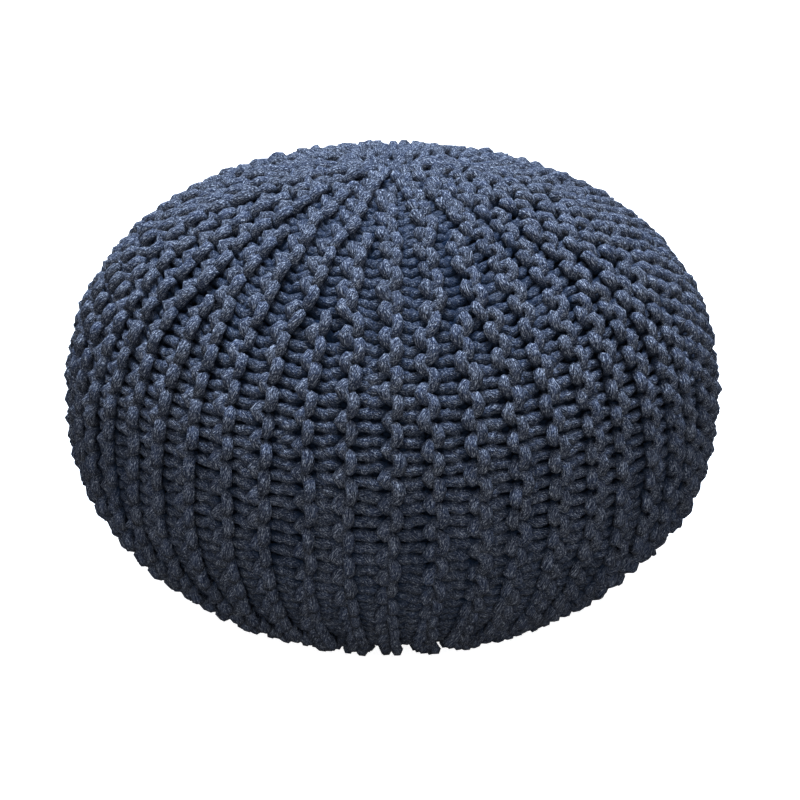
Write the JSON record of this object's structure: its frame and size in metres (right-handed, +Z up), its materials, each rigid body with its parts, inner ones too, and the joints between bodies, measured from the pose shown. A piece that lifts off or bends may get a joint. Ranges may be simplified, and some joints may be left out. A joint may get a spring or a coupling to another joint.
{
  "type": "knitted pouf",
  "caption": "Round filled pouf, a low ball with a flat base, its cover hand-knitted from thick cord in garter ridges that run from the gathered top to the gathered underside.",
  "frame": {"origin": "the middle of the flat base, on the floor", "axes": "+Z up through the gathered top, front towards -Y"},
  "size_m": [0.5, 0.5, 0.3469],
  "materials": {
    "yarn": "matt, slate-blue cotton cord"
  },
  "bodies": {
    "root": {"knitted_pouf": "yarn"}
  },
  "joints": []
}
